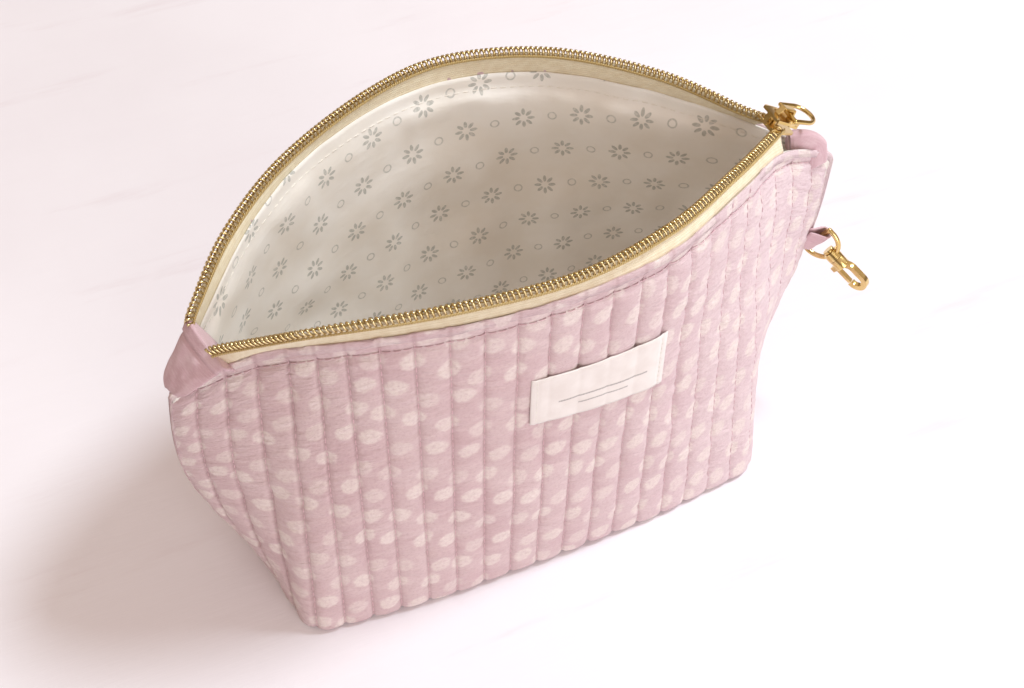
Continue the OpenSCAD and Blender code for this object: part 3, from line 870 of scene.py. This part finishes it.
# ---------------------------------------------------------------- tabs, strap loop and label
def left_tab():
    """Linen folded over the zip's left ends: a curved flap with a hem, turned under at its free edge."""
    back, front = np.array([-89.2, -0.6, 116.8]), np.array([-84.2, -17.8, 111.4])
    low_front, low_back = np.array([-98.6, -14.4, 100.4]), np.array([-102.2, -5.6, 100.2])
    out = unit(np.cross(front - back, low_front - front))
    out = out if out[2] > 0 else -out
    length = 18.0
    a, b = np.meshgrid(np.linspace(0, 1, 33), np.linspace(0, 1, 34), indexing="ij")
    round_off = np.sqrt(1 - 0.75 * np.clip((b - 0.78) / 0.22, 0, 1) ** 2)
    across = 0.5 + (a - 0.5) * round_off
    p = ((back * (1 - across[..., None]) + front * across[..., None]) * (1 - b[..., None])
         + (low_back * (1 - across[..., None]) + low_front * across[..., None]) * b[..., None])
    hem = (b - 0.22) * length
    rise = 1.5 * np.sin(math.pi * a) ** 0.7 * np.sin(math.pi * (0.25 + 0.7 * b))
    rise += 0.6 * smooth(-hem / 0.6) - 0.5 * np.exp(-(hem / 0.5) ** 2)
    rise += 0.25 * lattice_noise(a * 5 + 3, b * 6, 41) - 0.5 * b ** 6
    p = p + out * rise[..., None]
    # Past the flap's top edge the cloth turns down and inwards, into the mouth.
    crest = out * (1.5 * np.sin(math.pi * a[:, 0]) ** 0.7 * 0.7)[:, None]
    under = []
    for drop, inwards, narrow in ((9.0, 4.6, 0.5), (5.0, 2.8, 0.7), (1.6, 1.0, 0.92), (0.5, 0.25, 1.0)):
        at = 0.5 + (a[:, 0] - 0.5) * narrow
        edge_row = back + (front - back) * at[:, None] + crest
        under.append(edge_row + np.array([inwards, 0, -drop]))
    p = np.concatenate([np.stack(under, 1), p], 1)
    cloth_v = np.r_[-9, -5, -1.6, -0.5, np.linspace(0, length, 34)]
    cloth = spread(p.shape[:2], np.linspace(0, 17, 33)[:, None], cloth_v, 0)
    o = mesh_object("tab_left", p, grid_faces(*p.shape[:2], flip=True).tolist(), LINEN, cloth)
    solidify(o, 0.9)
    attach(o, "root")
    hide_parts("zip_tab_left")


def right_tab():
    """A rounded linen flap folded over the zip's right ends, standing in the seam."""
    spine = np.array([[96.3, -5, 121.3], [99, -5, 121.6], [102.5, -5.3, 120.6], [105.8, -5.7, 118.9],
                      [108.6, -6.1, 116.8], [110.2, -6.5, 114.0], [110.8, -6.8, 110.8], [110.9, -7.0, 107.5]])
    table = np.linspace(0, 1, len(spine))
    k = np.linspace(0, 1, 41)
    path = np.stack([np.interp(k, table, spine[:, i]) for i in range(3)], -1)
    for _ in range(6):
        path[1:-1] = (path[:-2] + 2 * path[1:-1] + path[2:]) / 4
    t = unit(np.gradient(path, axis=0))
    down = np.stack([t[:, 2], 0 * t[:, 1], -t[:, 0]], -1)
    a = np.linspace(0, math.pi, 13)
    section = [(1.6 * math.cos(x), 1.3 - 1.3 * math.sin(x)) for x in a]
    section += [(-2.0, 3.5), (-2.4, 6.5), (-1.2, 7.2), (1.2, 7.2), (2.4, 6.5), (2.0, 3.5)]
    # The free end by the slider closes to a rounded edge.
    fold = np.sqrt(1 - 0.5 * np.clip(1 - k / 0.06, 0, 1) ** 2)
    rows = [path + np.array([0, 1, 0]) * (y * fold)[:, None] + down * h for y, h in section]
    p = np.stack(rows, 1)
    p += down[:, None] * (0.18 * lattice_noise(k * 9, k * 0, 43))[:, None, None]
    ny = len(section)
    faces = grid_faces(len(k), ny, wrap_v=True).tolist()
    faces += [list(range(ny))[::-1], [(len(k) - 1) * ny + j for j in range(ny)]]
    run = np.r_[0, np.cumsum(np.linalg.norm(np.diff(np.array(section), axis=0), axis=1))]
    cloth = spread(p.shape[:2], k[:, None] * 22, run, 0)
    o = mesh_object("tab_right", p, faces, LINEN, cloth)
    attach(o, "root")
    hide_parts("zip_tab_right")


STITCH_POINTS = 16


def stitches(name, a, b, n, radius, material):
    """A run of stitches from points a to b, each dipping into the cloth at its ends. n points outwards."""
    t = unit(b - a)
    w = unit(np.cross(t, n))
    span = b - a
    round_thread = ((1, 0), (0, 1), (-1, 0), (0, -1))
    rings = []
    for share, lift in ((0.0, -0.22), (0.2, 0.1), (0.8, 0.1), (1.0, -0.22)):
        c = a + span * share + n * lift
        rings.append(np.stack([c + w * radius * x + n * radius * y for x, y in round_thread], 1))
    p = np.stack(rings, 1)
    p[..., 2] = np.maximum(p[..., 2], 0.02)
    one = grid_faces(4, 4, wrap_v=True).tolist() + [[3, 2, 1, 0], [12, 13, 14, 15]]
    faces = [[k + i * STITCH_POINTS for k in face] for i in range(len(p)) for face in one]
    return mesh_object(name, p, faces, material)


STITCH_PITCH, STITCH_L = 3.0, 2.3


def cloth_stitches(name, surface, normals, u, v, du, dv, radius, material):
    """Stitches in a bag layer, centred at u and v and running along du, dv."""
    a = sample(surface, u - du, v - dv)
    b = sample(surface, u + du, v + dv)
    n = unit(sample(normals, u, v))
    o = stitches(name, a + n * 0.05, b + n * 0.05, n, radius, material)
    close_with(o)


def panel_stitching(side):
    """The thread along the channels, the topstitch below the mouth and the lining's stitch line."""
    gu, gv = cloth_grid(1.0, 1.0)
    surface, normals = outer_surface(side, gu, rounded_off(gu, gv))
    name = SIDE_NAME[side]
    lines = np.arange(1, COLUMNS) * CHANNEL
    v = np.arange(-BASE_RUN + 3, WALL_H - 1, STITCH_PITCH)
    u, v = (x.ravel() for x in np.meshgrid(lines, v, indexing="ij"))
    cloth_stitches("quilting_thread_" + name, surface, normals, u, v, 0, STITCH_L / 2,
                   0.15, PINK_THREAD)
    u = np.arange(9, PANEL_W - 8, STITCH_PITCH)
    v = 0 * u + WALL_H - TOPSTITCH
    cloth_stitches("topstitch_" + name, surface, normals, u, v, STITCH_L / 2, 0,
                   0.17, PINK_THREAD)
    inner = lining_surface(side, gu, gv)
    inner_n = -grid_normals(inner, side)
    cloth_stitches("lining_stitch_" + name, inner, inner_n, u, v + 0.5, STITCH_L / 2, 0,
                   0.15, WHITE_THREAD)


LABEL_CORNERS = {"left": (114.0, 81.5, 101.0), "right": (161.8, 75.5, 98.0)}
LABEL_W, LABEL_H = 48.0, 20.0


def label():
    """The woven label, stitched down at its short ends over five channels."""
    a, b = np.meshgrid(np.linspace(0, 1, 97), np.linspace(0, 1, 31), indexing="ij")
    (u0, low0, high0), (u1, low1, high1) = LABEL_CORNERS["left"], LABEL_CORNERS["right"]
    u = u0 * (1 - a) + u1 * a
    v = (low0 * (1 - b) + high0 * b) * (1 - a) + (low1 * (1 - b) + high1 * b) * a
    gu, gv = cloth_grid(1.0, 1.0)
    face = skin(1, gu, gv, 0.0)
    normals = grid_normals(face, 1)
    p, n = sample(face, u, v), unit(sample(normals, u, v))
    lift = 0.22 - 0.28 * np.exp(-from_channel_line(u) / 1.6) + 0.12 * lattice_noise(a * 9, b * 3, 51)
    ends = np.minimum(a, 1 - a) * LABEL_W
    lift += 0.35 * smooth(ends / 1.5) - 0.18 * np.exp(-((ends - 2.2) / 0.5) ** 2)
    p = p + n * lift[..., None]
    cloth = np.stack([a * LABEL_W, b * LABEL_H, 0 * a], -1)
    o = mesh_object("woven_label", p, grid_faces(*a.shape).tolist(), LABEL, cloth)
    solidify(o, 0.3)
    close_with(o)
    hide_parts("label")
    rows = np.arange(0.06, 0.96, 0.09)
    starts, stops, outs, shares = [], [], [], []
    for at in (2.2 / LABEL_W, 1 - 2.2 / LABEL_W):
        i = int(round(at * 96))
        for r in rows:
            j, k = r * 30, (r + 0.06) * 30
            starts.append(sample_row(p[i], j))
            stops.append(sample_row(p[i], k))
            outs.append(n[i, int(j)])
            shares.append(float(wall_share(1, u[i, int(j)], v[i, int(j)])))
    o = stitches("label_thread", np.array(starts), np.array(stops), np.array(outs), 0.13, WHITE_THREAD)
    close_with(o)


def sample_row(row, x):
    """A row of points read between its points, at x steps along it."""
    i = min(int(x), len(row) - 2)
    return row[i] * (1 - x + i) + row[i + 1] * (x - i)


def strap_loop():
    """A linen strap folded round the ring's bar, with its ends held in the side seam."""
    bar = Vector((116.2, -6.0, 69.0))
    turn = (Matrix.Rotation(math.radians(-56), 3, "Z") @ Matrix.Rotation(math.radians(33), 3, "Y")
            @ Matrix.Rotation(math.radians(45), 3, "Z"))
    axes = np.array(turn)
    a = np.linspace(-math.pi / 2, math.pi / 2, 15)
    section = [(-6.8, -0.62), (-5.0, -0.7), (-3.2, -1.1), (-1.6, -1.55)]
    section += [(1.72 * math.cos(x), 1.72 * math.sin(x)) for x in a]
    section += [(x, -y) for x, y in section[3::-1]]
    section = np.array(section)
    run = np.r_[0, np.cumsum(np.linalg.norm(np.diff(section, axis=0), axis=1))]
    z = np.linspace(-4.9, 4.9, 15)
    local = spread((len(section), len(z)), section[:, :1], section[:, 1:], z)
    local[..., 1] += 0.12 * np.sin(local[..., 2] * 0.9) * np.sign(local[..., 1])
    p = np.array(bar) + local @ axes.T
    cloth = spread(p.shape[:2], run[:, None], z, 0)
    o = mesh_object("linen_strap", p, grid_faces(*p.shape[:2], flip=True).tolist(), LINEN, cloth)
    solidify(o, 0.55)
    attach(o, "root")
    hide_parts("strap_loop")
    starts, stops, outs = [], [], []
    for edge_z in (-4.1, 4.1):
        for sign in (1, -1):
            starts.append([-5.2, 0.7 * sign, edge_z])
            stops.append([-3.4, 1.06 * sign, edge_z])
            outs.append([0, sign, 0])
    points = [np.array(bar) + np.array(x) @ axes.T for x in (starts, stops)]
    o = stitches("strap_thread", points[0], points[1], np.array(outs) @ axes.T, 0.14, PINK_THREAD)
    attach(o, "root")


left_tab()
right_tab()
for side in (1, -1):
    panel_stitching(side)
label()
strap_loop()


# ---------------------------------------------------------------- floor, light and camera
def floor():
    s = Shader("floor_paper", roughness=0.7, specular=0.2)
    at = s.place()
    cloud = s.noise(at, 0.006, detail=4)
    colour = s.mix(s.ramp(cloud, 0.35, 0.65), srgb(240, 235, 241), srgb(244, 240, 246))
    streak = s.noise(at, 0.02, detail=6, rough=0.65, stretch=(0.35, 2.5, 1))
    colour = s.mix(s.ramp(streak, 0.56, 0.72, 0, 0.35), colour, srgb(226, 214, 220))
    s.finish(colour, s.bump(streak, 1.5, 0.25))
    mesh = bpy.data.meshes.new("floor")
    r = 4.0
    mesh.from_pydata([(-r, -r, 0), (r, -r, 0), (r, r, 0), (-r, r, 0)], [], [(0, 1, 2, 3)])
    mesh.materials.append(s.material)
    o = bpy.data.objects.new("floor", mesh)
    bpy.context.scene.collection.objects.link(o)


def area_light(name, place, aim, size, power, colour=(1, 1, 1)):
    data = bpy.data.lights.new(name, "AREA")
    data.shape = "DISK"
    data.size = size
    data.energy = power
    data.color = colour
    o = bpy.data.objects.new(name, data)
    o.location = place
    o.rotation_euler = (Vector(aim) - Vector(place)).to_track_quat("-Z", "Y").to_euler()
    bpy.context.scene.collection.objects.link(o)


WORLD_STRENGTH = 0.72


def world():
    """Warm light from above and a dimmer brown from below."""
    w = bpy.data.worlds.new("studio")
    bpy.context.scene.world = w
    w.use_nodes = True
    background = w.node_tree.nodes["Background"]
    background.inputs[1].default_value = WORLD_STRENGTH
    tree = w.node_tree
    at = tree.nodes.new("ShaderNodeTexCoord")
    split = tree.nodes.new("ShaderNodeSeparateXYZ")
    ramp = tree.nodes.new("ShaderNodeValToRGB")
    tree.links.new(at.outputs["Generated"], split.inputs[0])
    tree.links.new(split.outputs["Z"], ramp.inputs[0])
    tree.links.new(ramp.outputs[0], background.inputs[0])
    stops = ramp.color_ramp.elements
    ground = (0.34, 0.26, 0.21, 1)
    stops[0].position, stops[0].color = 0.0, ground
    stops[1].position, stops[1].color = 1.0, (1.0, 0.83, 0.73, 1)
    low = stops.new(0.35)
    low.color = ground
    high = stops.new(0.6)
    high.color = (1.0, 0.81, 0.67, 1)


def camera():
    """The camera stands at its azimuth and elevation about the middle of the bag."""
    azimuth, elevation, roll = math.radians(-23.11), math.radians(50.11), math.radians(-0.28)
    distance, right_by, up_by, middle_z = 422.54, 6.25, 1.29, 60.0
    back = Vector((math.sin(azimuth) * math.cos(elevation), -math.cos(azimuth) * math.cos(elevation),
                   math.sin(elevation)))
    right = (-back).cross(Vector((0, 0, 1))).normalized()
    up = right.cross(-back)
    r = right * math.cos(roll) + up * math.sin(roll)
    u = up * math.cos(roll) - right * math.sin(roll)
    place = Vector((0, 0, middle_z)) + r * right_by + u * up_by + back * distance
    data = bpy.data.cameras.new("camera")
    data.sensor_width = 36.0
    data.lens = 45.98
    data.clip_start = 0.01
    data.clip_end = 20
    o = bpy.data.objects.new("camera", data)
    o.matrix_world = Matrix.Translation(place * MM) @ Matrix((r, u, back)).transposed().to_4x4()
    bpy.context.scene.collection.objects.link(o)
    bpy.context.scene.camera = o


bpy.context.scene.view_settings.view_transform = "Standard"
floor()
world()
area_light("window", (1.05, -0.1, 1.7), (0.05, 0, 0.05), 0.45, 26, (0.84, 0.94, 1.0))
area_light("fill", (0.35, -2.0, 0.6), (0, 0, 0.06), 1.4, 18.5, (0.97, 0.98, 1.0))
camera()
